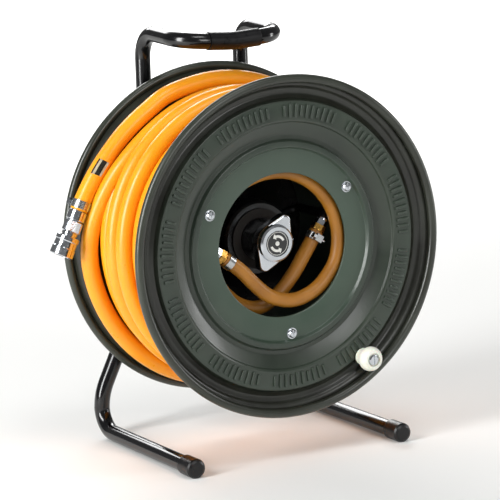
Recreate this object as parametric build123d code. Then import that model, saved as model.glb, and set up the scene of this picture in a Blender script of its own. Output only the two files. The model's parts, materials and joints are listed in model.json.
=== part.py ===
"""Hose reel on a bent-tube stand.

The origin is on the floor, under the middle of the reel's outline. +Z is up, the drum turns
about an axis parallel to Y, and the open side of the drum, with the brake knob, faces -Y.
Places on the drum are given as (x, z, v): x and z from the drum's axis, v along +Y from the
drum's middle plane.
"""
from build123d import *
import math
import os

os.makedirs("parts", exist_ok=True)

# ---------------------------------------------------------------- driving dimensions (mm)
FLANGE_R = 190.0            # outer radius of both drum flanges
BEAD_R = 5.0                # rolled rim of a flange
BEAD_V = 88.0               # middle plane of each rim, from the drum's middle
RING_V = 72.0               # flat inner ring of a flange, outer face
SHEET = 1.2                 # flange and barrel sheet
OPENING_R = 80.0            # opening in each flange
AXLE_Z = 237.0              # drum axis above the floor
Y_MID = -24.0               # drum's middle plane, so that the outline is centred on the origin

BARREL_R = 105.4            # drum core that the hose is wound on
ROD_R = 100.0               # circle of the three tie rods
ROD_ANGLES = (34.5, 154.5, 274.5)

TUBE_D = 18.0               # stand tube
TUBE_WALL = 1.6
FOOT_X = 132.0              # half spacing of the foot rails
UPRIGHT_X = 63.5            # half spacing of the uprights
UPRIGHT_V = 126.0           # plane of legs and uprights
FOOT_FRONT_V = -97.0        # front end of the rail tubes
CAP_D = 22.0                # foot cap
GRIP_V = 27.0               # the handle's plane, in front of the uprights
GRIP_Z = 458.5

AXLE_R = 12.5               # fixed axle
STUD_R = 8.0                # threaded stud for the brake knob
RUN_FIT = 0.06              # radial clearance of a running fit

HOSE_D = 20.0               # wound hose
EVEN_LAYERS = ((115.5, 7), (130.5, 6), (146, 7))            # (radius, turns) of the layers below
TOP_TURNS = ((158, 0), (160, 20), (165, 41), (172, 60))     # (radius, v) of the uneven turns on top
INNER_HOSE_D = 16.0         # connecting hose inside the drum
INNER_BORE = 10.0

KNOB_R = 163.5              # winding knob, distance from the drum's axis
KNOB_ANGLE = -55.8          # degrees from +X
KNOB_TIP_V = -109.0         # end face of the winding knob

TAIL_V = 60.0               # the loose end of the hose hangs in this plane
COUPLER_START = (-183.0, 41.0)      # end of the hose (x, z)
COUPLER_END = (-207.3, -7.0)        # mouth of the coupler (x, z)


# ---------------------------------------------------------------- helpers
def at(x, z, v):
    """A point given from the drum's middle."""
    return Vector(x, Y_MID + v, AXLE_Z + z)


def polar(radius, degrees, v):
    a = math.radians(degrees)
    return at(radius * math.cos(a), radius * math.sin(a), v)


def ring(*points):
    """Solid of revolution about the drum's axis, from a closed outline of (radius, v)."""
    face = make_face(Polyline(*points, close=True))
    return Pos(0, Y_MID, AXLE_Z) * revolve(face, Axis.Y)


def collar(r_in, r_out, v0, v1):
    return ring((r_in, v0), (r_out, v0), (r_out, v1), (r_in, v1))


def turned(*points):
    """Solid of revolution about local Z, from a closed outline of (radius, height)."""
    face = Plane.XZ * make_face(Polyline(*points, close=True))
    return revolve(face, Axis.Z)


def tubular(r_in, r_out, h0, h1):
    return turned((r_in, h0), (r_out, h0), (r_out, h1), (r_in, h1))


def rod(radius, h0, h1):
    return Pos(0, 0, h0) * Cylinder(radius, h1 - h0, align=(Align.CENTER, Align.CENTER, Align.MIN))


def hexagon(across_flats, h0, h1, bore=0.0):
    radius = across_flats / math.sqrt(3)
    body = Pos(0, 0, h0) * extrude(RegularPolygon(radius, 6), h1 - h0)
    return body - rod(bore, h0 - 1, h1 + 1) if bore else body


def placed(shape, origin, direction, across=None):
    """Put a shape made along local +Z at an origin, with local X along across."""
    return Plane(origin=origin, x_dir=across, z_dir=direction).location * shape


def corner_radii(points, share=0.45):
    """The largest even arc at each corner of a route."""
    radii = []
    for before, here, after in zip(points, points[1:], points[2:]):
        run_in, run_out = here - before, after - here
        half_turn = math.radians(run_in.get_angle(run_out)) / 2
        radii.append(share * min(run_in.length, run_out.length) / math.tan(half_turn))
    return radii


def pipe(points, radii, outer_d, bore_d=0.0):
    """A round tube along straight runs joined by tangent arcs."""
    path = FilletPolyline(*points, radius=radii)
    start = Plane(origin=path @ 0, z_dir=path % 0)
    section = Circle(outer_d / 2)
    if bore_d:
        section -= Circle(bore_d / 2)
    return sweep(start * section, path=path), path


def save(name, shape):
    solids = shape.solids()
    if len(solids) == 1:
        export_step(solids[0], f"parts/{name}.step")
    else:
        export_step(Compound(children=solids), f"parts/{name}.step")


FORWARD = (0, -1, 0)
BACKWARD = (0, 1, 0)
SIDEWAYS = (1, 0, 0)

# ---------------------------------------------------------------- stand
tube_r = TUBE_D / 2
foot_front_z = CAP_D / 2 - 0.4      # the caps are worn to a narrow flat
foot_rear_z = tube_r - 0.2
rail_points = [
    (-FOOT_X, FOOT_FRONT_V, foot_front_z),
    (-FOOT_X, UPRIGHT_V, foot_rear_z),
    (-FOOT_X - 1, UPRIGHT_V, 48),
    (-UPRIGHT_X, UPRIGHT_V, 192),
    (-UPRIGHT_X, UPRIGHT_V, 463),
    (-UPRIGHT_X, GRIP_V, GRIP_Z),
]
bend_radii = [26, 70, 90, 30, 30]
half_route = [Vector(x, Y_MID + v, z) for x, v, z in rail_points]
middle = Vector(0, Y_MID + GRIP_V, GRIP_Z - 4)
route = half_route + [middle] + [Vector(-p.X, p.Y, p.Z) for p in reversed(half_route)]
frame_tube, _ = pipe(route, bend_radii + [180] + bend_radii[::-1], TUBE_D, TUBE_D - 2 * TUBE_WALL)

bolt_places = [(sx * UPRIGHT_X, sz * 20.0) for sx in (-1, 1) for sz in (-1, 1)]
bolt_r = 3.0
for x, z in bolt_places:
    frame_tube -= placed(rod(bolt_r + 0.2, -15, 15), at(x, z, UPRIGHT_V), BACKWARD)
save("frame_tube", frame_tube)

cap_length, cap_nose = 20.0, 6.0    # behind and ahead of the tube's end
cap_r = CAP_D / 2
caps = []
for side in (-1, 1):
    end = Vector(side * FOOT_X, Y_MID + FOOT_FRONT_V, foot_front_z)
    rear = Vector(side * FOOT_X, Y_MID + UPRIGHT_V, foot_rear_z)
    nose = turned((0, -cap_nose), (cap_r - 3.5, -cap_nose), (cap_r - 1.2, 1.2 - cap_nose),
                  (cap_r, 3.5 - cap_nose), (cap_r, cap_length), (tube_r + 0.02, cap_length),
                  (tube_r + 0.02, 0), (0, 0))
    under_floor = Pos(end.X, end.Y, -10) * Box(60, 120, 20)
    caps.append(placed(nose, end, rear - end) - under_floor)
save("foot_caps", Compound(children=caps))

grip_half = 32.0
grip_left = middle + Vector(-grip_half, 0, grip_half * 4 / UPRIGHT_X)
grip_right = middle + Vector(grip_half, 0, grip_half * 4 / UPRIGHT_X)
grip_sleeve, _ = pipe([grip_left, middle, grip_right], [180], TUBE_D + 2.4, TUBE_D + 0.04)
save("grip_sleeve", grip_sleeve)

plate_t = 5.0
plate_v1 = UPRIGHT_V - tube_r
plate_v0 = plate_v1 - plate_t
plate = extrude(RectangleRounded(2 * UPRIGHT_X + 24, 64, 8), plate_t)
plate -= rod(AXLE_R + 0.1, -1, plate_t + 1)
for x, z in bolt_places:
    plate -= Pos(x, z, 0) * rod(bolt_r + 0.2, -1, plate_t + 1)
save("axle_plate", placed(plate, at(0, 0, plate_v0), BACKWARD, SIDEWAYS))

bolt = hexagon(10, -4, 0) + rod(bolt_r, 0, plate_t + TUBE_D + 8)
bolts = [placed(bolt, at(x, z, plate_v0), BACKWARD) for x, z in bolt_places]
save("plate_bolts", Compound(children=bolts))
bolt_nut = hexagon(10, 0, 5, bolt_r + 0.02)
nuts = [placed(bolt_nut, at(x, z, UPRIGHT_V + tube_r), BACKWARD) for x, z in bolt_places]
save("plate_nuts", Compound(children=nuts))

# ---------------------------------------------------------------- fixed axle and its water way
axle_rear_v = 131.0
shoulder_v0 = plate_v0 - 7
port_v = 20.0
axle = ring((0, -54), (STUD_R - 1.5, -54), (STUD_R, -52.5), (STUD_R, -21), (AXLE_R, -21),
            (AXLE_R, shoulder_v0), (22, shoulder_v0), (22, plate_v0), (AXLE_R, plate_v0),
            (AXLE_R, axle_rear_v), (0, axle_rear_v))
axle -= collar(0, 6.5, port_v - 6, axle_rear_v + 1)
axle -= collar(AXLE_R - 1, AXLE_R + 5, -19.8, -18.1)
for degrees in (0, 90, 180, 270):
    axle -= placed(rod(2.5, 0, 20), at(0, 0, port_v), polar(1, degrees, 0) - at(0, 0, 0))
save("axle", axle)
save("axle_circlip", collar(AXLE_R - 0.95, 16.5, -19.6, -18.3))
save("axle_washer", collar(AXLE_R + 0.1, 21, plate_v1, plate_v1 + 2))
save("axle_nut", placed(hexagon(34, 0, 10, AXLE_R + 0.02), at(0, 0, plate_v1 + 2), BACKWARD))
spigot_r = 6.0
nipple_tip_v = -KNOB_TIP_V + 48
nipple = ring((4, axle_rear_v - 12), (6.45, axle_rear_v - 12), (6.45, axle_rear_v), (10, axle_rear_v),
              (11, axle_rear_v + 1), (11, axle_rear_v + 7), (10, axle_rear_v + 8),
              (spigot_r, axle_rear_v + 8), (spigot_r, nipple_tip_v - 7), (4.9, nipple_tip_v - 6),
              (4.9, nipple_tip_v - 4), (5.7, nipple_tip_v - 3), (5.4, nipple_tip_v), (4, nipple_tip_v))
save("inlet_nipple", nipple)

# ---------------------------------------------------------------- where the inner hose's fittings point
hub_end = at(60.5, 4.8, -42)
hub_dir = Vector(0.56, 0, 0.83).normalized()
core_end = at(-67, -9, -58)
core_dir = Vector(-0.8, 0, 0.6).normalized()
nut_end = 16.0
pipe_d, pipe_bore = 10.0, 7.0
hub_corner = hub_end + hub_dir * (nut_end + 6)
core_corner = core_end + core_dir * (nut_end + 6)
outlet_angle = math.degrees(math.atan2(hub_corner.Z - AXLE_Z, hub_corner.X))
pipe_exit_angle = math.degrees(math.atan2(core_corner.Z - AXLE_Z, core_corner.X))
outlet = polar(1, outlet_angle, 0) - at(0, 0, 0)
pipe_exit = polar(1, pipe_exit_angle, 0) - at(0, 0, 0)

# ---------------------------------------------------------------- drum shell
flange_line = [(OPENING_R, RING_V), (107, RING_V), (109, RING_V + 4), (115, RING_V + 4), (117, RING_V),
               (122, RING_V), (136.5, 79), (139, 82.5), (161, 82.5), (163.5, 77.5), (168, 74.5),
               (174, 75.5), (181.5, 86.5)]
flange_fillets = [1.2, 1.6, 1.6, 1.2, 3, 2.5, 1.2, 1.2, 3, 4, 5]
lip_depth = 3.0


def flange(side):
    """A pressed sheet flange with a rolled rim; side is -1 for the front, 1 for the rear."""
    outer = [Vector(r, side * v) for r, v in flange_line]
    inner = [Vector(r, side * (v - SHEET)) for r, v in flange_line]
    face_line = FilletPolyline(*outer, radius=flange_fillets)
    back_line = FilletPolyline(*inner, radius=flange_fillets)
    ends = [Line(outer[0], inner[0]), Line(outer[-1], inner[-1])]
    sheet = revolve(make_face([*face_line.edges(), *back_line.edges(), *ends]), Axis.Y)
    bead = revolve(Pos(FLANGE_R - BEAD_R, side * BEAD_V) * Circle(BEAD_R), Axis.Y)
    shell = Pos(0, Y_MID, AXLE_Z) * (sheet + bead)
    for degrees in ROD_ANGLES:
        shell -= placed(rod(2.7, -5, 5), polar(ROD_R, degrees, side * RING_V), BACKWARD)
    return shell


knob_at = polar(KNOB_R, KNOB_ANGLE, 0) - Vector(0, Y_MID, 0)
knob_x, knob_z = knob_at.X, knob_at.Z - AXLE_Z
flange_face_v = -82.5
front_flange = flange(-1) + collar(OPENING_R, OPENING_R + SHEET, -RING_V, lip_depth - RING_V)
boss_depth = 9.4            # the knob stands on a boss at the edge of the raised band
front_flange += placed(rod(9, 0, boss_depth), at(knob_x, knob_z, flange_face_v), BACKWARD)
front_flange -= placed(rod(3.1, -2, boss_depth + 4), at(knob_x, knob_z, flange_face_v), BACKWARD)
save("front_flange", front_flange)
save("rear_flange", flange(1))

front_v = -(RING_V - SHEET)
rear_v = RING_V - SHEET - 2
barrel = collar(BARREL_R - SHEET, BARREL_R, front_v, rear_v)
barrel -= placed(rod(5.1, 90, 110), at(0, 0, core_end.Y - Y_MID), pipe_exit)
save("barrel", barrel)

hub_plate = collar(16, BARREL_R, rear_v, rear_v + 2) + collar(16, 22, rear_v + 2, rear_v + 15)
for degrees in ROD_ANGLES:
    hub_plate -= placed(rod(2.7, -3, 5), polar(ROD_R, degrees, rear_v), BACKWARD)
save("hub_plate", hub_plate)

hub_r = 42.0
hub_front_v = -18.0
hub_housing = ring((16, hub_front_v), (hub_r - 2.5, hub_front_v), (hub_r, hub_front_v + 2.5),
                   (hub_r, rear_v), (hub_r - 2, rear_v), (hub_r - 2, hub_front_v + 3),
                   (20, hub_front_v + 3), (20, hub_front_v + 15), (16, hub_front_v + 15))
hub_housing -= placed(rod(5.3, 30, 50), at(0, 0, port_v), outlet)
save("hub_housing", hub_housing)

tie_rods, front_screws, rear_screws, front_washers, rear_washers = [], [], [], [], []
screw = turned((0, 0), (2.4, 0), (2.4, 13), (5, 13), (5, 14.6), (3.8, 16.2), (0, 16.8))
screw -= Pos(0, 0, 17.5) * Box(12, 1.1, 3.4)
screw_depth = 13 - SHEET - 1.0
washer = tubular(2.6, 6.2, 0, 1.0)
for degrees in ROD_ANGLES:
    stay = rod(4, front_v, rear_v) - rod(2.5, front_v - 1, front_v + 14) - rod(2.5, rear_v - 14, rear_v + 1)
    tie_rods.append(placed(stay, polar(ROD_R, degrees, 0), BACKWARD))
    front_washers.append(placed(washer, polar(ROD_R, degrees, -RING_V), FORWARD))
    rear_washers.append(placed(washer, polar(ROD_R, degrees, RING_V), BACKWARD))
    front_screws.append(placed(screw, polar(ROD_R, degrees, front_v + screw_depth), FORWARD))
    rear_screws.append(placed(screw, polar(ROD_R, degrees, RING_V - SHEET - screw_depth), BACKWARD))
save("tie_rods", Compound(children=tie_rods))
save("tie_screws_front", Compound(children=front_screws))
save("tie_screws_rear", Compound(children=rear_screws))
save("tie_washers_front", Compound(children=front_washers))
save("tie_washers_rear", Compound(children=rear_washers))

# ---------------------------------------------------------------- bearings and rotary joint
hub_rear_end = rear_v + 15
bush_bore = AXLE_R + RUN_FIT
save("front_bush", collar(bush_bore, 15.98, hub_front_v + 0.6, hub_front_v + 15))
save("rear_bush", ring((bush_bore, rear_v), (15.98, rear_v), (15.98, hub_rear_end), (20, hub_rear_end),
                       (20, hub_rear_end + 1.5), (bush_bore, hub_rear_end + 1.5)))
save("spacer_sleeve", collar(AXLE_R + 0.02, 17, hub_rear_end + 2, shoulder_v0))

groove_r, o_ring_r = 15.8, 1.55
swivel_body = collar(bush_bore, 24, port_v - 16, port_v + 16)
swivel_body -= collar(0, 16, port_v - 3, port_v + 3)
swivel_body -= placed(rod(3.5, 10, 30), at(0, 0, port_v), outlet)
o_rings = []
for offset in (-9, 9):
    swivel_body -= collar(0, groove_r, port_v + offset - 1.8, port_v + offset + 1.8)
    torus = revolve(Pos(AXLE_R + 0.08 + o_ring_r, port_v + offset) * Circle(o_ring_r), Axis.Y)
    o_rings.append(Pos(0, Y_MID, AXLE_Z) * torus)
save("swivel_body", swivel_body)
save("swivel_o_rings", Compound(children=o_rings))

# ---------------------------------------------------------------- inner hose, its pipes and fittings
straight = 26.0             # the hose leaves each fitting straight
inner_route = [
    hub_end, hub_end - hub_dir * straight, at(31, -39, -41.5), at(10, -62, -40.5), at(-15, -76, -39),
    at(-42, -67, -38), at(-64, -45, -38), at(-76, -17, -38), at(-77, 15, -39), at(-64, 45, -41),
    at(-40, 68, -44), at(-10, 79, -47.5), at(22, 78, -51), at(52, 62, -54), at(73, 35, -56.5),
    at(81, 3, -57.5), at(76, -29, -58.5), at(51, -57, -59.5), at(18, -67.5, -61),
    at(-13, -58.5, -61), at(-32, -41, -60),
    core_end - core_dir * straight, core_end,
]
inner_hose, _ = pipe(inner_route, corner_radii(inner_route), INNER_HOSE_D, INNER_BORE)
save("inner_hose", inner_hose)

barb = turned((3, -12), (4.9, -12), (4.9, 0), (7.5, 0), (8.2, 1), (8.2, 2), (3, 2)) + hexagon(15, 2, 8, 3)
union_nut = hexagon(13, 8, 14, 3.5) + tubular(3.5, 7, 14, nut_end)
for name, end, direction in (("swivel", hub_end, hub_dir), ("core", core_end, core_dir)):
    save(f"{name}_hose_barb", placed(barb, end, direction, FORWARD))
    save(f"{name}_pipe_nut", placed(union_nut, end, direction, FORWARD))

rear_corner = Vector(hub_corner.X, Y_MID + port_v, hub_corner.Z)
swivel_mouth = at(0, 0, port_v) + outlet * 23
pipe_route = [hub_end + hub_dir * nut_end, hub_corner, rear_corner, swivel_mouth]
swivel_pipe, _ = pipe(pipe_route, [5.5, 12], pipe_d, pipe_bore)
save("swivel_pipe", swivel_pipe - collar(0, 24, port_v - 16, port_v + 16))

wall_point = at(0, 0, core_end.Y - Y_MID) + pipe_exit * BARREL_R
core_pipe, _ = pipe([core_end + core_dir * nut_end, core_corner, wall_point], [12], pipe_d, pipe_bore)
save("core_pipe", core_pipe)
bulkhead_nut = hexagon(16, -7, -SHEET - 0.6, pipe_d / 2 + 0.05)
save("core_bulkhead_nut", placed(bulkhead_nut, wall_point, pipe_exit, FORWARD))

clamp_bands, clamp_screws = [], []
inner_r = INNER_HOSE_D / 2
band = tubular(inner_r + 0.02, inner_r + 0.9, -11, -3)
housing = Pos(0, inner_r + 3.3, -7) * Box(9, 4.8, 8)
band_screw = Pos(0, inner_r + 3.3, -7) * (Rot(0, 90, 0) * (rod(1.5, -8, 4.5) + hexagon(5.5, 4.5, 8)))
for end, direction, across in ((hub_end, hub_dir, (-0.83, 0, 0.56)), (core_end, core_dir, (0.6, 0, 0.8))):
    clamp_bands += placed(band + housing - band_screw, end, direction, across).solids()
    clamp_screws += placed(band_screw, end, direction, across).solids()
save("inner_hose_clamps", Compound(children=clamp_bands))
save("inner_clamp_screws", Compound(children=clamp_screws))

# ---------------------------------------------------------------- winding knob
knob_base_v = flange_face_v - 1.5
save("crank_washer", placed(tubular(3.1, 8, 0, 1.5), at(knob_x, knob_z, flange_face_v), FORWARD))
crank_length = flange_face_v - KNOB_TIP_V
crank_bolt = rod(3, -boss_depth - 6, crank_length - 2.5)
crank_bolt += turned((0, crank_length - 2.5), (6, crank_length - 2.5), (6, crank_length - 1),
                     (4.5, crank_length), (0, crank_length))
crank_bolt -= Pos(0, 0, crank_length) * Box(14, 1.3, 2.4)
save("crank_bolt", placed(crank_bolt, at(knob_x, knob_z, flange_face_v), FORWARD))
save("crank_nut", placed(hexagon(10, 0, 5, 3.02), at(knob_x, knob_z, flange_face_v + boss_depth), BACKWARD))
knob_length = knob_base_v - KNOB_TIP_V - 0.8
knob_bore = 3 + RUN_FIT
knob_line = Line((knob_bore, 0.3), (9.5, 0.3))
knob_side = Spline((9.5, 0.3), (8.7, 3.5), (9.4, 7), (13.2, 13), (13.4, knob_length - 5),
                   (10.5, knob_length - 0.6))
knob_top = Polyline((10.5, knob_length - 0.6), (7.6, knob_length), (7.2, knob_length - 2.4),
                    (knob_bore, knob_length - 2.4), (knob_bore, 0.3))
knob_face = make_face([knob_line.edge(), knob_side.edge(), *knob_top.edges()])
winding_knob = revolve(Plane.XZ * knob_face, Axis.Z)
save("winding_knob", placed(winding_knob, at(knob_x, knob_z, knob_base_v), FORWARD))

# ---------------------------------------------------------------- brake
save("friction_disc", collar(21, 34, hub_front_v - 2.5, hub_front_v))
ring_back_v, ring_front_v = hub_front_v - 2.6, -34.0
ring_length = ring_back_v - ring_front_v
pressure = tubular(STUD_R + RUN_FIT, 24, 0, 3) + hexagon(34, 3, ring_length, STUD_R + RUN_FIT)
pressure -= rod(AXLE_R + 1, -1, 1.2)    # room for the axle's end
save("pressure_ring", placed(pressure, at(0, 0, ring_back_v), FORWARD))

knob_back_v = ring_front_v - 0.3
wing_angle = 60.0
tips = [Rot(0, 0, wing_angle + turn) * (Pos(27, 0) * Circle(7)) for turn in (0, 183)]
wing_sketch = make_hull([*Circle(22).edges(), *tips[0].edges(), *tips[1].edges()])
wings = Pos(0, 0, 9) * extrude(wing_sketch, 12)
wings = fillet(wings.edges().group_by(Axis.Z)[-1], 2.5)
crown = turned((0, 20), (21.5, 20), (20.5, 24.5), (18.3, 26), (14.5, 26), (14, 24.6), (0, 24.6))
boss = turned((0, 0), (14, 0), (16, 9.5), (0, 9.5))
brake_knob = boss + wings + crown - rod(STUD_R + RUN_FIT, -1, 21)
save("brake_knob", Pos(0, Y_MID + knob_back_v, AXLE_Z) * (Rot(90, 0, 0) * brake_knob))
badge_v = knob_back_v - 24.6
save("knob_badge", collar(0, 13.6, badge_v - 0.9, badge_v))

# ---------------------------------------------------------------- wound hose
hose_r = HOSE_D / 2
coil_half = RING_V - SHEET - 0.4
layer_top = EVEN_LAYERS[-1][0] + hose_r
top_line = [(r + hose_r, v) for r, v in TOP_TURNS]
last_turn_r, last_turn_v = TOP_TURNS[-1]
coil = ring((BARREL_R + 0.3, -coil_half), (layer_top, -coil_half), (layer_top, -hose_r * 3), *top_line[:-1],
            (last_turn_r + hose_r, last_turn_v - hose_r), (last_turn_r + hose_r, coil_half - 2),
            (BARREL_R + 0.3, coil_half - 2))

coupler_start = at(*COUPLER_START, TAIL_V)
coupler_dir = (at(*COUPLER_END, TAIL_V) - coupler_start).normalized()
tail_straight = 36.0
tail_route = [
    polar(last_turn_r + 1, 122, 58), polar(last_turn_r + 1.5, 131, 59),
    polar(last_turn_r + 2.5, 140, TAIL_V), coupler_start - coupler_dir * tail_straight, coupler_start,
]
tail_radii = corner_radii(tail_route)
hose_tail, tail_path = pipe(tail_route, tail_radii, HOSE_D)
save("hose_tail", hose_tail)
under_clamp = placed(rod(hose_r + 2.5, -15, 18), coupler_start, coupler_dir)
save("hose_coil", coil - hose_tail - under_clamp)       # the bundle gives way under the free end
print("tail radii", [round(r, 1) for r in tail_radii], "length", round(tail_path.length, 1))
print("tail volume", round(hose_tail.volume), "section x length",
      round(math.pi * HOSE_D ** 2 / 4 * tail_path.length))
turn_radii = [r for r, turns in EVEN_LAYERS for _ in range(turns)] + [r for r, v in TOP_TURNS]
turns_wound = len(turn_radii) - 1.2         # the first and last turns are cut short
mean_r = sum(turn_radii) / len(turn_radii)
print("wound hose", round(2 * math.pi * mean_r * turns_wound / 1000, 1), "m in", turns_wound, "turns")

# ---------------------------------------------------------------- clamp and quick coupler on the hose's end
tail_clamp = tubular(hose_r + 0.02, hose_r + 1.0, -11, -2)
tail_housing = Pos(0, hose_r + 3.6, -6.5) * Box(11, 5.4, 9)
tail_screw = Pos(0, hose_r + 3.6, -6.5) * (Rot(0, 90, 0) * (rod(1.8, -8, 5.5) + hexagon(7, 5.5, 10)))
tail_across = Vector(coupler_dir.Z, 0, -coupler_dir.X)
save("tail_clamp", placed(tail_clamp + tail_housing - tail_screw, coupler_start, coupler_dir, tail_across))
save("tail_clamp_screw", placed(tail_screw, coupler_start, coupler_dir, tail_across))

coupler_length = (at(*COUPLER_END, TAIL_V) - coupler_start).length
nut_end_h, ring_end_h = 12.0, 26.0
sleeve_start_h = ring_end_h + 4.6
coupler_nut = turned((4, 0), (9.6, 0), (10.6, 1), (10.6, 11), (9.6, nut_end_h), (4, nut_end_h))
save("coupler_nut", placed(coupler_nut, coupler_start, coupler_dir))
coupler_body = turned((4, nut_end_h), (9, nut_end_h), (9.8, nut_end_h + 1), (9.8, ring_end_h - 1),
                      (9, ring_end_h), (9, ring_end_h + 3), (8.2, ring_end_h + 3),
                      (8.2, coupler_length - 1.5), (7.2, coupler_length - 0.5),
                      (6, coupler_length - 0.5), (6, ring_end_h), (4, ring_end_h))
ball_h = coupler_length - 8
balls = []
for k in range(6):
    ball_at = Rot(0, 0, 60 * k) * Pos(6.6, 0, ball_h)
    coupler_body -= Rot(0, 0, 60 * k) * (Pos(0, 0, ball_h) * (Rot(0, 90, 0) * rod(1.75, 3, 12)))
    balls.append(ball_at * Sphere(1.6))
save("coupler_body", placed(coupler_body, coupler_start, coupler_dir))
save("coupler_balls", Compound(children=[placed(b, coupler_start, coupler_dir) for b in balls]))
valve_h = ring_end_h + 8
valve = turned((0, valve_h), (5.8, valve_h), (5.8, valve_h + 2), (3, valve_h + 6), (0, valve_h + 6))
save("coupler_valve", placed(valve, coupler_start, coupler_dir))
sleeve = turned((8.2 + RUN_FIT, sleeve_start_h + 14), (12, sleeve_start_h + 14), (12, sleeve_start_h + 1),
                (9.2, sleeve_start_h + 1), (9.2, sleeve_start_h), (12.4, sleeve_start_h),
                (13.2, sleeve_start_h + 1), (13.2, sleeve_start_h + 5), (12.7, sleeve_start_h + 6),
                (12.7, sleeve_start_h + 13),
                (13.4, sleeve_start_h + 14), (13.4, coupler_length - 0.8), (12.6, coupler_length),
                (9.3, coupler_length), (9.3, ball_h + 2), (8.2 + RUN_FIT, ball_h + 1))
save("coupler_sleeve", placed(sleeve, coupler_start, coupler_dir))
spring_wire = Helix(pitch=2.0, height=7, radius=10.2)
spring_end = Plane(origin=spring_wire @ 0, z_dir=spring_wire % 0)
spring = Pos(0, 0, sleeve_start_h + 2.2) * sweep(spring_end * Circle(0.6), path=spring_wire, is_frenet=True)
save("coupler_spring", placed(spring, coupler_start, coupler_dir))
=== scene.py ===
"""A hose reel on a bent tube stand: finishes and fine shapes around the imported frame."""
import json
import math

import bmesh
import bpy
from mathutils import Matrix, Vector


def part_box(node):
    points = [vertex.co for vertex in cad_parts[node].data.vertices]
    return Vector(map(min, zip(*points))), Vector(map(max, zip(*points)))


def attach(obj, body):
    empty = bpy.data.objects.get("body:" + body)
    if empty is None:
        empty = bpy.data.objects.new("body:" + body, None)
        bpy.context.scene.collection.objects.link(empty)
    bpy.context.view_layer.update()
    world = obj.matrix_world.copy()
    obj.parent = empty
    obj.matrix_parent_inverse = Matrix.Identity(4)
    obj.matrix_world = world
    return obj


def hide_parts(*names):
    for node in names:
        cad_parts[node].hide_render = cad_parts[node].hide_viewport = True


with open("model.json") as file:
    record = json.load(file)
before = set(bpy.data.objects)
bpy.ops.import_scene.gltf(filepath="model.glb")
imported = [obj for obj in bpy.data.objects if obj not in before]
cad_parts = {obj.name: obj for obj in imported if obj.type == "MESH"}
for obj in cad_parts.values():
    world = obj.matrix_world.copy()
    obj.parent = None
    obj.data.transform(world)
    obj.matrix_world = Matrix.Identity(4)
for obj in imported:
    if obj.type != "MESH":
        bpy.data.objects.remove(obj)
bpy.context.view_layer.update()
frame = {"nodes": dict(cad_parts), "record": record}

# ------------------------------------------------------------------ camera
# A long lens on a tripod, a little above the axle and to the left of the open side. It is
# turned a trace about its own axis, as a hand-levelled camera is.
MM = 0.001
joints = {joint["name"]: joint for joint in frame["record"]["behaviour"]["joints"]}
axle = Vector(joints["drum_spin"]["pos_m"])

azimuth, elevation, roll = math.radians(-29.13), math.radians(10.45), math.radians(-1.74)
focal_length, stand_off = 191.28, 2.98166       # millimetres of lens, metres from the aim
aim_below_axle, aim_left, aim_up = 22 * MM, 1.35 * MM, 6.1 * MM

camera_back = Vector((math.sin(azimuth) * math.cos(elevation),
                      -math.cos(azimuth) * math.cos(elevation), math.sin(elevation)))
level_right = Vector((math.cos(azimuth), math.sin(azimuth), 0))
level_up = camera_back.cross(level_right)
aim = axle + Vector((0, 0, -aim_below_axle)) - level_right * aim_left + level_up * aim_up
camera_right = level_right * math.cos(roll) + level_up * math.sin(roll)
camera_up = level_up * math.cos(roll) - level_right * math.sin(roll)
camera_turn = Matrix((camera_right, camera_up, camera_back)).transposed().to_4x4()

lens = bpy.data.cameras.new("camera")
lens.lens = focal_length
lens.sensor_width = 36
lens.clip_end = 20
camera = bpy.data.objects.new("camera", lens)
camera.matrix_world = Matrix.Translation(aim + camera_back * stand_off) @ camera_turn
bpy.context.scene.collection.objects.link(camera)
bpy.context.scene.camera = camera


# ------------------------------------------------------------------ wound hose and its free end
# Soft extruded hose of 20 mm outside, wound by hand in three layers with uneven turns on top.
# The last turn lies high against the rear flange and leaves the bundle for the coupler.
def linear(code):
    """An sRGB hex colour as the linear RGBA that a shader takes."""
    parts = [int(code[k:k + 2], 16) / 255 for k in (0, 2, 4)]
    return [c / 12.92 if c <= 0.04045 else ((c + 0.055) / 1.055) ** 2.4 for c in parts] + [1]


def add(tree, kind, values=None, **settings):
    """Adds a shader node. A value may be a plain value or another node's output."""
    node = tree.nodes.new("ShaderNode" + kind)
    for name, value in settings.items():
        setattr(node, name, value)
    for socket, value in (values or {}).items():
        if isinstance(value, bpy.types.NodeSocket):
            tree.links.new(value, node.inputs[socket])
        else:
            node.inputs[socket].default_value = value
    return node


def new_material(name, **values):
    """A material on the principled shader, with the shader's own values set."""
    made = bpy.data.materials.new(name)
    made.use_nodes = True
    shader = made.node_tree.nodes["Principled BSDF"]
    for socket, value in values.items():
        shader.inputs[socket.replace("_", " ")].default_value = value
    return made, made.node_tree, shader


def blotches(tree, place, size_mm, detail=3.0):
    """Noise whose blotches are about size_mm across."""
    return add(tree, "TexNoise", {"Vector": place, "Scale": 1000 / size_mm,
                                  "Detail": detail}).outputs["Fac"]


def spread(tree, value, low, high, start=0.3, end=0.7):
    """A value between low and high, from a noise that mostly lies between start and end."""
    return add(tree, "MapRange", {"Value": value, "From Min": start, "From Max": end,
                                  "To Min": low, "To Max": high}).outputs["Result"]


def two_colours(tree, factor, first, second):
    """A colour between two, each a hex code or another node's output."""
    first, second = (linear(c) if isinstance(c, str) else c for c in (first, second))
    # A mix node's colours are its sockets 6, 7 and 2.
    return add(tree, "Mix", {"Factor": factor, 6: first, 7: second}, data_type="RGBA").outputs[2]


def bump(tree, shader, height, depth_mm, strength):
    """Raises the surface by a height of up to depth_mm."""
    raised = add(tree, "Bump", {"Height": height, "Distance": depth_mm * MM, "Strength": strength})
    tree.links.new(raised.outputs["Normal"], shader.inputs["Normal"])


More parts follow.
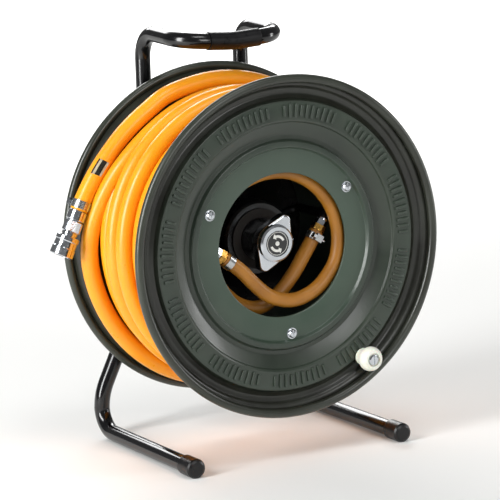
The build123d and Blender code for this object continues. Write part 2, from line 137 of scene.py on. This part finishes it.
def drum_point(radius, degrees, v):
    """A point in metres. Its radius about the axle and v, behind the drum's middle, are in mm."""
    a = math.radians(degrees)
    return axle + Vector((radius * math.cos(a), v, radius * math.sin(a))) * MM


# Soft PVC, extruded: smooth with faint drag lines, and light that enters it comes back redder.
hose_pvc, tree, shader = new_material(
    "soft_extruded_pvc", IOR=1.48, Subsurface_Weight=0.12, Subsurface_Scale=0.003,
    Coat_Weight=0.15, Coat_Roughness=0.25)
shader.inputs["Subsurface Radius"].default_value = (1.0, 0.35, 0.06)
place = add(tree, "TexCoord").outputs["Object"]
shade = blotches(tree, place, 60)
tree.links.new(two_colours(tree, spread(tree, shade, 0, 1), "F59A12", "FAA81A"),
               shader.inputs["Base Color"])
scuff = blotches(tree, place, 14, 5)
tree.links.new(spread(tree, scuff, 0.27, 0.42), shader.inputs["Roughness"])
bump(tree, shader, blotches(tree, place, 2.5, 2), 0.05, 0.5)

# The turns, from the core outwards, as radius and v in millimetres.
hose_d = 20.0
layer_1 = [(115.5, v) for v in range(-60, 61, 20)]
layer_2 = [(130.5, v) for v in range(50, -51, -20)]
layer_3 = [(144, -60), (145, -40), (147, -20), (143, 0), (143, 20), (155, 44), (144, 60)]
top_turns = [(158.5, 0), (160, 20), (158, 37), (172, 60.5)]
turns = layer_1 + layer_2 + layer_3 + top_turns
dive = Vector((172, 62))                    # where the last turn but one comes to lie
dive_from, dive_arc = 140, 38
exit_angle = 177.2
last_angle = 360 * (len(turns) - 1) + 112
crossing_start, crossing_arc = 300, 100     # each turn steps over to the next on the right-hand side
unevenness = 0.6
points_a_turn = 16
to_control = 1 / math.cos(math.pi / points_a_turn)      # a control point stands outside its turn


def eased(t):
    """A smooth step from 0 to 1."""
    t = min(max(t, 0), 1)
    return t * t * (3 - 2 * t)


def turn_place(degrees):
    """Radius and v of the wound hose at an angle that counts up from the first turn."""
    passed = (degrees - crossing_start) / 360
    number = math.floor(passed) + 1
    step = eased((passed - math.floor(passed)) * 360 / crossing_arc)
    before = Vector(turns[max(number - 1, 0)])
    after = Vector(turns[min(number, len(turns) - 1)])
    if number == 0:
        return before
    here = before.lerp(after, step)
    # The turn below the last one dives under it on the left and comes to lie against the flange.
    diving = len(turns) - 2
    if number == diving:
        here = here.lerp(dive, eased((degrees - 360 * diving - dive_from) / dive_arc))
    if number == diving + 1:
        here = dive.lerp(after, step)
    return here


def wander(degrees, number):
    """Hand-wound hose is never quite even."""
    a = math.radians(degrees)
    return Vector((math.sin(a * 2 + number), 1.3 * math.sin(a + 2.1 * number)))


hose_points = []
coil_steps = round((last_angle - exit_angle) / 360 * points_a_turn)
for k in range(coil_steps + 1):
    degrees = exit_angle + (last_angle - exit_angle) * k / coil_steps
    number = math.floor((degrees - crossing_start) / 360)
    radius, v = turn_place(degrees) + unevenness * wander(degrees, number)
    hose_points.append(drum_point(radius * to_control, degrees, v))

# The free end leaves the bundle on the left and runs straight into the coupler.
coupler_start = axle + Vector((-183, 60, 41)) * MM
coupler_end = axle + Vector((-207.3, 60, -7)) * MM
coupler_dir = (coupler_end - coupler_start).normalized()
tail_straight, tail_length = 36 * MM, 0.14
hose_points += [drum_point(173, 122, 58), drum_point(173.5, 131, 59), drum_point(174.5, 140, 60)]
hose_points += [coupler_start - coupler_dir * tail_straight, coupler_start]

hose_curve = bpy.data.curves.new("hose", "CURVE")
hose_curve.dimensions = "3D"
spline = hose_curve.splines.new("NURBS")
spline.points.add(len(hose_points) - 1)
for control, point in zip(spline.points, hose_points):
    control.co = (*point, 1)
spline.order_u = 3
spline.use_endpoint_u = True
spline.resolution_u = 6
hose_curve.bevel_depth = hose_d / 2 * MM
hose_curve.bevel_resolution = 6
hose_curve.use_fill_caps = True
hose = bpy.data.objects.new("hose", hose_curve)
bpy.context.scene.collection.objects.link(hose)
hose_curve.materials.append(hose_pvc)
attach(hose, "drum")
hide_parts("hose_coil", "hose_tail")


# ------------------------------------------------------------------ printed mark on the hose
# A mark rolled on in ink: a solid black band and a thin one on a pale ground, with no lettering.
# It runs along the hose near the coupler, on the side that faces forwards.
def spline_points(curve):
    """The centreline that the curve's spline makes, as a list of points."""
    bare = curve.copy()
    bare.bevel_depth = 0
    holder = bpy.data.objects.new("centreline", bare)
    line = [vert.co.copy() for vert in bpy.data.meshes.new_from_object(holder).vertices]
    bpy.data.objects.remove(holder)
    return line


def new_piece(name, shape, body, slot, *materials):
    """Makes an object of a bmesh, at the origin, riding on a body."""
    mesh = bpy.data.meshes.new(name)
    shape.to_mesh(mesh)
    shape.free()
    mesh.polygons.foreach_set("use_smooth", [True] * len(mesh.polygons))
    piece = bpy.data.objects.new(name, mesh)
    bpy.context.scene.collection.objects.link(piece)
    for made in materials:
        mesh.materials.append(made)
    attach(piece, body)
    return piece


ink_black, tree, shader = new_material("rolled_on_ink", Roughness=0.45, IOR=1.5)
place = add(tree, "TexCoord").outputs["Object"]
worn = blotches(tree, place, 1.2, 4)
tree.links.new(two_colours(tree, spread(tree, worn, 0, 1, 0.4, 0.8), "15150F", "4A4436"),
               shader.inputs["Base Color"])
ink_white, tree, shader = new_material("rolled_on_pale_ink", Roughness=0.45, IOR=1.5)
place = add(tree, "TexCoord").outputs["Object"]
worn = blotches(tree, place, 1.2, 4)
tree.links.new(two_colours(tree, spread(tree, worn, 0, 1), "F2EEDC", "E3D9B4"),
               shader.inputs["Base Color"])

mark_from, mark_length, mark_side = 0.050, 0.026, -85      # from the coupler, along, round the hose
mark_width, mark_columns, ink_lift, ink_depth = 13.2, 14, 0.05, 0.08
block_start, block_end, line_start = 2.4, 8.2, 11.4        # black parts across the width, in mm

hose_line = spline_points(hose_curve)
travelled, stretch = 0.0, []
for here, after in zip(hose_line[::-1], hose_line[-2::-1]):
    travelled += (after - here).length
    if mark_from <= travelled <= mark_from + mark_length:
        stretch.append((here, (here - after).normalized()))

mark = bmesh.new()
rows = []
for centre, along in stretch:
    outward = (centre - axle).normalized()
    sideways = along.cross(outward).normalized()
    row = []
    for k in range(mark_columns + 1):
        round_hose = (mark_width * k / mark_columns - mark_width / 2) / (hose_d / 2)
        arc = math.radians(mark_side) + round_hose
        spoke = sideways * math.sin(arc) + outward * math.cos(arc)
        row.append(mark.verts.new(centre + spoke * (hose_d / 2 + ink_lift) * MM))
    rows.append(row)
for lower, upper in zip(rows, rows[1:]):
    for k in range(mark_columns):
        face = mark.faces.new((lower[k], lower[k + 1], upper[k + 1], upper[k]))
        middle = mark_width * (k + 0.5) / mark_columns
        face.material_index = 0 if block_start < middle < block_end or middle > line_start else 1
bmesh.ops.solidify(mark, geom=mark.faces[:], thickness=-ink_depth * MM)
bmesh.ops.recalc_face_normals(mark, faces=mark.faces)
hose_mark = new_piece("hose_mark", mark, "drum", "yellow_hose", ink_black, ink_white)


# ------------------------------------------------------------------ clamp and quick coupler
# A worm-drive band grips the hose on a chromed brass socket with a sliding sleeve.
def paint(made, *nodes):
    """Gives CAD nodes a material."""
    for node in nodes:
        for slot in frame["nodes"][node].material_slots:
            slot.material = made


# Chrome on polished brass: a hard mirror, a little cloudy where it has been handled.
chrome, tree, shader = new_material("polished_chrome_plate", Metallic=1.0)
shader.inputs["Base Color"].default_value = linear("CFD3D8")
place = add(tree, "TexCoord").outputs["Object"]
cloud = blotches(tree, place, 9, 4)
tree.links.new(spread(tree, cloud, 0.1, 0.22), shader.inputs["Roughness"])

# Rolled stainless strip: brighter along the edges and brushed by the rolls.
band_steel, tree, shader = new_material("rolled_stainless_band", Metallic=1.0)
shader.inputs["Base Color"].default_value = linear("C3C5C6")
place = add(tree, "TexCoord").outputs["Object"]
drag = blotches(tree, place, 0.9, 4)
tree.links.new(spread(tree, drag, 0.18, 0.34), shader.inputs["Roughness"])
bump(tree, shader, drag, 0.02, 0.5)

# Brass as turned, dulled by handling.
turned_brass, tree, shader = new_material("turned_brass", Metallic=1.0)
place = add(tree, "TexCoord").outputs["Object"]
tarnish = blotches(tree, place, 5, 4)
tree.links.new(two_colours(tree, spread(tree, tarnish, 0, 1), "D6A655", "A77B38"),
               shader.inputs["Base Color"])
tree.links.new(spread(tree, tarnish, 0.2, 0.38), shader.inputs["Roughness"])

# Plain steel, turned: a satin grey with fine marks.
turned_steel, tree, shader = new_material("turned_steel", Metallic=1.0)
shader.inputs["Base Color"].default_value = linear("A9A9A6")
place = add(tree, "TexCoord").outputs["Object"]
drag = blotches(tree, place, 1.4, 4)
tree.links.new(spread(tree, drag, 0.24, 0.4), shader.inputs["Roughness"])
bump(tree, shader, drag, 0.02, 0.5)

paint(chrome, "coupler_nut", "coupler_body", "coupler_sleeve", "tail_clamp_screw")
paint(band_steel, "tail_clamp")
paint(turned_steel, "coupler_balls", "coupler_spring")
paint(turned_brass, "coupler_valve")

# A diamond knurl, cut on a ring between the coupler's nut and its front ring.
nut_end, ring_end, knurl_length = 12, 26, 11
knurl_r, groove_r, knurl_teeth, knurl_pitch = 10.4, 9.95, 44, 1.1
across = coupler_dir.orthogonal().normalized()
coupler_place = Matrix((across, coupler_dir.cross(across), coupler_dir)).transposed().to_4x4()
coupler_place = Matrix.Translation(coupler_start) @ coupler_place

knurl = bmesh.new()
bmesh.ops.create_cone(knurl, segments=2 * knurl_teeth, radius1=knurl_r * MM, radius2=knurl_r * MM,
                      depth=knurl_length * MM)
walls = [edge for edge in knurl.edges if abs(edge.verts[0].co.z - edge.verts[1].co.z) > MM]
bmesh.ops.subdivide_edges(knurl, edges=walls, cuts=9)
for vert in knurl.verts:
    tooth = round(math.atan2(vert.co.y, vert.co.x) * knurl_teeth / math.pi)
    row = round(vert.co.z / (knurl_pitch * MM))
    if (tooth + row) % 2:
        vert.co.xy *= groove_r / knurl_r
knurl_middle = Matrix.Translation((0, 0, (nut_end + ring_end) / 2 * MM))
bmesh.ops.transform(knurl, matrix=coupler_place @ knurl_middle, verts=knurl.verts)
coupler_knurl = new_piece("coupler_knurl", knurl, "drum", "chrome_plate", chrome)
coupler_knurl.data.polygons.foreach_set("use_smooth", [False] * len(coupler_knurl.data.polygons))


# ------------------------------------------------------------------ flanges
# Two sheet discs pressed to the same section, with a flat ring, a bead, a raised band and a rolled
# rim, sprayed a dull olive. The front one has a short turned-in lip and plain raised ribs on its band.
flat_v, opening_r, sheet = 72, 80, 1.2
band_v = 82.5
flange_line = [                             # radius, v and the corner's radius, in millimetres
    (opening_r, flat_v, 0), (106.5, flat_v, 1.2),
    (108.8, 76, 1.6), (115, 76, 1.6),                               # bead
    (117.4, flat_v, 1.2), (122, flat_v, 3),
    (136.5, 79, 1.2), (137.4, 81.2, 0.8), (139.4, band_v, 1.2),     # step up to the band
    (160.4, band_v, 1.2), (163, 77.5, 1.4), (168, 74.5, 4),
    (174, 75.5, 5), (181.4, 86.5, 0)]                               # cove and rim
rim_r, rim_v, rim_wire = 185, 88, 5


def rounded(points, steps=5):
    """A line of (r, v) with its corners rounded by the third value of each point."""
    line = []
    for k, (r, v, soft) in enumerate(points):
        here = Vector((r, v))
        if not soft:
            line.append(here)
            continue
        before = Vector(points[k - 1][:2]) - here
        after = Vector(points[k + 1][:2]) - here
        turn = math.pi - before.angle(after)
        reach = min(soft * math.tan(turn / 2), before.length * 0.48, after.length * 0.48)
        start, end = here + before.normalized() * reach, here + after.normalized() * reach
        for j in range(steps + 1):
            t = j / steps
            line.append(start.lerp(here, t).lerp(here.lerp(end, t), t))
    return line


def spun(shape, line, side, closed=False, steps=192):
    """Spins a line of (r, v) about the drum's axis; side is -1 for the front, 1 for the rear."""
    verts = [shape.verts.new(axle + Vector((r, side * v, 0)) * MM) for r, v in line]
    edges = [shape.edges.new(pair) for pair in zip(verts, verts[1:] + (verts[:1] if closed else []))]
    bmesh.ops.spin(shape, geom=verts + edges, cent=axle, axis=(0, 1, 0), angle=2 * math.pi,
                   steps=steps, use_merge=True)


def flange(side, lip):
    """A pressed flange with a rolled rim; side is -1 for the front, 1 for the rear."""
    shape = bmesh.new()
    line = rounded(flange_line)
    if lip:
        line = [Vector((opening_r + 0.3, flat_v - 3)), Vector((opening_r, flat_v - 1.2)),
                Vector((opening_r + 0.3, flat_v - 0.3)), Vector((opening_r + 1.2, flat_v))] + line[1:]
    back = [Vector((r, v - sheet)) for r, v in line]
    if lip:
        back = [Vector((opening_r + sheet, flat_v - 3)),
                Vector((opening_r + sheet, flat_v - 1.4))] + back[3:]
    spun(shape, line + back[::-1], side, closed=True)
    curl = [Vector((rim_r, rim_v)) + Vector((math.cos(a), math.sin(a))) * rim_wire
            for a in (2 * math.pi * k / 24 for k in range(24))]
    spun(shape, curl, side, closed=True)
    bmesh.ops.recalc_face_normals(shape, faces=shape.faces)
    return shape


# Semi-gloss olive stoving paint with a faint orange peel and random dust. Its colour changes with
# radius as painted shade: lighter on the flat ring inside the bead, darker from the bead outwards and
# darkest down in the cove beside the rim.
olive, tree, shader = new_material("olive_stoving_paint", IOR=1.5, Coat_Weight=0.2, Coat_Roughness=0.15)
place = add(tree, "TexCoord").outputs["Object"]
centred = add(tree, "Mapping", {"Vector": place, "Location": tuple(-axle)}).outputs["Vector"]
apart = add(tree, "SeparateXYZ", {"Vector": centred})
flattened = add(tree, "CombineXYZ", {"X": apart.outputs["X"], "Z": apart.outputs["Z"]})
radius = add(tree, "VectorMath", {0: flattened.outputs["Vector"]}, operation="LENGTH").outputs["Value"]
tones_from, tones_to = 80, 190              # radii in millimetres
along = add(tree, "MapRange", {"Value": radius, "From Min": tones_from * MM,
                               "From Max": tones_to * MM}).outputs["Result"]
# A colour ramp over the radius, painted shade: each stop below darkens or lightens the paint by where
# it sits on the pressing.
painted_shade_tones = add(tree, "ValToRGB", {"Fac": along})
ramp = painted_shade_tones.color_ramp
ramp.elements[0].position, ramp.elements[0].color = 0.0, linear("3C4D41")
ramp.elements[1].position, ramp.elements[1].color = 1.0, linear("2C3028")
for radius_mm, code in ((106, "37473B"), (110, "2A362D"), (121, "242C24"), (138, "2A332A"),
                        (158, "2F3B31"), (163, "1C1C16"), (178, "191813")):
    stop = ramp.elements.new((radius_mm - tones_from) / (tones_to - tones_from))
    stop.color = linear(code)
dust = blotches(tree, place, 45, 4)
painted_shade_and_dust = two_colours(tree, spread(tree, dust, 0, 0.12), painted_shade_tones.outputs["Color"], "5C6656")
tree.links.new(painted_shade_and_dust, shader.inputs["Base Color"])
tree.links.new(spread(tree, dust, 0.28, 0.4), shader.inputs["Roughness"])
bump(tree, shader, blotches(tree, place, 2.2, 2), 0.035, 0.6)

# The front flange carries a short boss behind its band, for the winding knob's bolt.
front = flange(-1, lip=True)
knob_axis = Vector(joints["winding_knob_spin"]["pos_m"])
boss_r, boss_depth = 9 * MM, 8.5 * MM
boss = bmesh.ops.create_cone(front, segments=48, radius1=boss_r, radius2=boss_r, depth=boss_depth,
                             cap_ends=True)
boss_middle = (knob_axis.x, axle.y - band_v * MM + boss_depth / 2, knob_axis.z)
bmesh.ops.transform(front, verts=boss["verts"],
                    matrix=Matrix.Translation(boss_middle) @ Matrix.Rotation(math.pi / 2, 4, "X"))
rear = flange(1, lip=False)
front_flange = new_piece("front_flange_pressing", front, "drum", "olive_paint", olive)
rear_flange = new_piece("rear_flange_pressing", rear, "drum", "olive_paint", olive)
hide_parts("front_flange")
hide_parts("rear_flange")

# Plain upset ribs stand on the band in groups, for grip and stiffness.
rib_r, rib_width, rib_edge = 149.5, 3.2, 0.6
rib_depth = 4.2                             # half of it is sunk in the band
rib_places, group, ribs_a_group = 132, 12, 10
ribs = bmesh.new()
for k in range(rib_places):
    if k % group >= ribs_a_group:
        continue
    corners = bmesh.ops.create_cube(ribs, size=1)["verts"]
    length = 15 if k % 3 else 12
    bmesh.ops.scale(ribs, vec=Vector((length, rib_depth, rib_width)) * MM, verts=corners)
    edges = list({edge for vert in corners for edge in vert.link_edges})
    bevelled = bmesh.ops.bevel(ribs, geom=edges, offset=rib_edge * MM, segments=2, profile=0.5,
                               affect="EDGES", material=-1)
    corners = {vert for vert in corners if vert.is_valid}
    corners |= {vert for face in bevelled["faces"] for vert in face.verts}
    turn = Matrix.Rotation(-2 * math.pi * k / rib_places, 4, "Y")
    on_band = Matrix.Translation(Vector((rib_r, -band_v, 0)) * MM)
    bmesh.ops.transform(ribs, matrix=Matrix.Translation(axle) @ turn @ on_band, verts=list(corners))
new_piece("front_band_ribs", ribs, "drum", "olive_paint", olive)


# ------------------------------------------------------------------ screws, core and hub
# Chromed pan-head screws and washers hold the flanges to three stays. The core and its rear plate are
# sheet steel, and the hub is a spun cup sprayed black.
zinc, tree, shader = new_material("bright_zinc_plate", Metallic=1.0)
place = add(tree, "TexCoord").outputs["Object"]
bloom = blotches(tree, place, 4, 4)
tree.links.new(two_colours(tree, spread(tree, bloom, 0, 1), "C8CACB", "A4A7A2"),
               shader.inputs["Base Color"])
tree.links.new(spread(tree, bloom, 0.2, 0.38), shader.inputs["Roughness"])

# Black stoving paint, semi-gloss, with a faint peel.
black_paint, tree, shader = new_material("black_stoving_paint", IOR=1.45, Coat_Weight=0.15,
                                         Coat_Roughness=0.12)
shader.inputs["Base Color"].default_value = linear("060607")
place = add(tree, "TexCoord").outputs["Object"]
tree.links.new(spread(tree, blotches(tree, place, 30, 4), 0.22, 0.36), shader.inputs["Roughness"])
bump(tree, shader, blotches(tree, place, 2.4, 2), 0.03, 0.5)

paint(chrome, "tie_screws_front", "tie_screws_rear", "tie_washers_front", "tie_washers_rear")
paint(zinc, "tie_rods")
paint(olive, "barrel")
paint(black_paint, "hub_plate", "hub_housing")


# ------------------------------------------------------------------ bearings and rotary joint
# Nylon bushes run on the fixed axle, and a brass ring with two seals takes the water off it.
nylon, tree, shader = new_material("moulded_nylon", Roughness=0.4, IOR=1.53, Subsurface_Weight=0.1,
                                   Subsurface_Scale=0.002)
place = add(tree, "TexCoord").outputs["Object"]
tree.links.new(two_colours(tree, spread(tree, blotches(tree, place, 8), 0, 1), "E6E2D6", "D8D2C2"),
               shader.inputs["Base Color"])
rubber, tree, shader = new_material("moulded_rubber", IOR=1.52)
shader.inputs["Base Color"].default_value = linear("151515")
place = add(tree, "TexCoord").outputs["Object"]
tree.links.new(spread(tree, blotches(tree, place, 3, 4), 0.5, 0.7), shader.inputs["Roughness"])
lining, tree, shader = new_material("pressed_brake_lining", Roughness=0.8, IOR=1.5)
place = add(tree, "TexCoord").outputs["Object"]
fleck = blotches(tree, place, 1.2, 5)
tree.links.new(two_colours(tree, spread(tree, fleck, 0, 1), "0E0C0B", "221C17"),
               shader.inputs["Base Color"])
bump(tree, shader, fleck, 0.1, 0.7)

paint(nylon, "front_bush", "rear_bush")
paint(rubber, "swivel_o_rings")
paint(lining, "friction_disc")
paint(turned_brass, "swivel_body", "inlet_nipple")
paint(turned_steel, "axle", "axle_circlip")
paint(zinc, "axle_nut", "axle_washer", "spacer_sleeve", "plate_bolts", "plate_nuts")


# ------------------------------------------------------------------ connecting hose and fittings
# Amber rubber hose, browner than the wound one, on brass tails with chromed nuts.
amber, tree, shader = new_material("amber_rubber_hose", Roughness=0.42, IOR=1.52,
                                   Subsurface_Weight=0.06, Subsurface_Scale=0.003)
shader.inputs["Subsurface Radius"].default_value = (1.0, 0.4, 0.1)
place = add(tree, "TexCoord").outputs["Object"]
age = blotches(tree, place, 30, 4)
tree.links.new(two_colours(tree, spread(tree, age, 0, 1), "AF7420", "96611B"),
               shader.inputs["Base Color"])
bump(tree, shader, blotches(tree, place, 2, 3), 0.04, 0.5)
paint(amber, "inner_hose")
paint(turned_brass, "swivel_hose_barb", "core_hose_barb", "core_bulkhead_nut")
paint(chrome, "swivel_pipe_nut", "core_pipe_nut", "inner_clamp_screws")
paint(black_paint, "swivel_pipe", "core_pipe")
paint(band_steel, "inner_hose_clamps")


# ------------------------------------------------------------------ brake knob
# A chromed casting with two wings, a rim and a plain printed disc let into its face.
paint(chrome, "brake_knob")
paint(black_paint, "pressure_ring")
badge_plastic, tree, shader = new_material("printed_badge_plastic", Roughness=0.25, IOR=1.49,
                                           Coat_Weight=0.5)
place = add(tree, "TexCoord").outputs["Object"]
tree.links.new(two_colours(tree, spread(tree, blotches(tree, place, 6), 0, 1), "121316", "1C1D20"),
               shader.inputs["Base Color"])
badge_white, tree, shader = new_material("printed_white_ink", Roughness=0.35, IOR=1.5)
place = add(tree, "TexCoord").outputs["Object"]
tree.links.new(two_colours(tree, spread(tree, blotches(tree, place, 4), 0, 1), "E9E9E4", "D6D6CF"),
               shader.inputs["Base Color"])
paint(badge_plastic, "knob_badge")

# The print on the disc: a dot, a thin ring and two arrows that show which way to turn.
arrow_r, arrow_arc, arrow_steps, head_steps = 8, 110, 24, 5
arrow_half, head_half = 1.4, 3.4
print_shape = bmesh.new()
for inner_r, outer_r in ((12.4, 12.9), (0.01, 2.6)):
    spun(print_shape, [Vector((inner_r, 0)), Vector((outer_r, 0))], 1, steps=96)
for start in (20, 200):
    arc = []
    for k in range(arrow_steps + 1):
        left = arrow_steps - k
        half = arrow_half if left > head_steps else head_half * left / head_steps + 0.01
        arc.append([print_shape.verts.new(drum_point(r, start + arrow_arc * k / arrow_steps, 0))
                    for r in (arrow_r - half, arrow_r + half)])
    for low, high in zip(arc, arc[1:]):
        print_shape.faces.new((low[0], low[1], high[1], high[0]))
print_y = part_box("knob_badge")[0].y - 0.03 * MM
for vert in print_shape.verts:
    vert.co.y = print_y
bmesh.ops.remove_doubles(print_shape, verts=print_shape.verts, dist=0.005 * MM)
bmesh.ops.recalc_face_normals(print_shape, faces=print_shape.faces)
for face in print_shape.faces:
    if face.normal.y > 0:
        face.normal_flip()
new_piece("knob_badge_print", print_shape, "brake_knob", "badge_plastic", badge_white)


# ------------------------------------------------------------------ winding knob
# White moulded plastic, yellowed a little, turning on a chromed shoulder screw.
knob_white, tree, shader = new_material("moulded_white_plastic", Roughness=0.3, IOR=1.5,
                                        Subsurface_Weight=0.15, Subsurface_Scale=0.002, Coat_Weight=0.2)
place = add(tree, "TexCoord").outputs["Object"]
yellowed = blotches(tree, place, 9, 3)
tree.links.new(two_colours(tree, spread(tree, yellowed, 0, 1), "F6F6EC", "E9E9D8"),
               shader.inputs["Base Color"])
paint(knob_white, "winding_knob")
paint(chrome, "crank_bolt")
paint(zinc, "crank_washer", "crank_nut")


# ------------------------------------------------------------------ stand
# One bent tube, dipped in gloss black enamel, with vinyl caps on the feet and a vinyl sleeve.
enamel, tree, shader = new_material("gloss_black_enamel", IOR=1.5, Coat_Weight=0.25,
                                    Coat_Roughness=0.05)
shader.inputs["Base Color"].default_value = linear("050507")
place = add(tree, "TexCoord").outputs["Object"]
tree.links.new(spread(tree, blotches(tree, place, 40, 4), 0.12, 0.24), shader.inputs["Roughness"])
bump(tree, shader, blotches(tree, place, 6, 2), 0.03, 0.4)
vinyl, tree, shader = new_material("dipped_black_vinyl", IOR=1.45)
shader.inputs["Base Color"].default_value = linear("0A0A0C")
place = add(tree, "TexCoord").outputs["Object"]
tree.links.new(spread(tree, blotches(tree, place, 5, 4), 0.26, 0.42), shader.inputs["Roughness"])
bump(tree, shader, blotches(tree, place, 1.5, 3), 0.04, 0.5)
paint(enamel, "frame_tube", "axle_plate")
paint(vinyl, "foot_caps", "grip_sleeve")


# ------------------------------------------------------------------ floor and light
# A white paper floor. A tall soft light stands on the left, with weaker ones in front, above and on
# the right. The wide one behind, and a surround that only the lens sees bright, whiten the ground.
floor_shape = bmesh.new()
bmesh.ops.create_grid(floor_shape, x_segments=1, y_segments=1, size=6)
floor_mesh = bpy.data.meshes.new("floor")
floor_shape.to_mesh(floor_mesh)
floor_shape.free()
floor = bpy.data.objects.new("floor", floor_mesh)
bpy.context.scene.collection.objects.link(floor)
floor_paint, tree, shader = new_material("matt_white_paper", Roughness=0.9)
shader.inputs["Base Color"].default_value = linear("F4F4F2")
floor_mesh.materials.append(floor_paint)


def soft_light(name, place, size, power, towards=axle):
    """A rectangular light at a place in metres, turned towards a point."""
    data = bpy.data.lights.new(name, "AREA")
    data.shape = "RECTANGLE"
    data.size, data.size_y = size
    data.energy = power
    light = bpy.data.objects.new(name, data)
    light.location = place
    light.rotation_euler = (Vector(place) - towards).to_track_quat("Z", "Y").to_euler()
    bpy.context.scene.collection.objects.link(light)


soft_light("key", (-1.9, -0.4, 0.9), (0.6, 1.6), 46)
soft_light("front", (0.3, -2.7, 1.2), (1.2, 0.9), 20)
soft_light("top", (0.1, -0.9, 2.3), (1.0, 0.6), 9)
soft_light("right", (2.0, -0.9, 0.5), (0.3, 1.2), 11)
soft_light("behind", (1.2, 4.0, 2.4), (4.0, 3.0), 260, Vector((1.2, 4.0, 0)))
world = bpy.data.worlds.new("surround")
world.use_nodes = True
seen = add(world.node_tree, "LightPath").outputs["Is Camera Ray"]
brightness = add(world.node_tree, "MapRange", {"Value": seen, "To Min": 0.17,
                                               "To Max": 3.0}).outputs["Result"]
surround = world.node_tree.nodes["Background"]
surround.inputs["Color"].default_value = linear("FFFFFF")
world.node_tree.links.new(brightness, surround.inputs["Strength"])
bpy.context.scene.world = world
bpy.context.scene.view_settings.view_transform = "Standard"
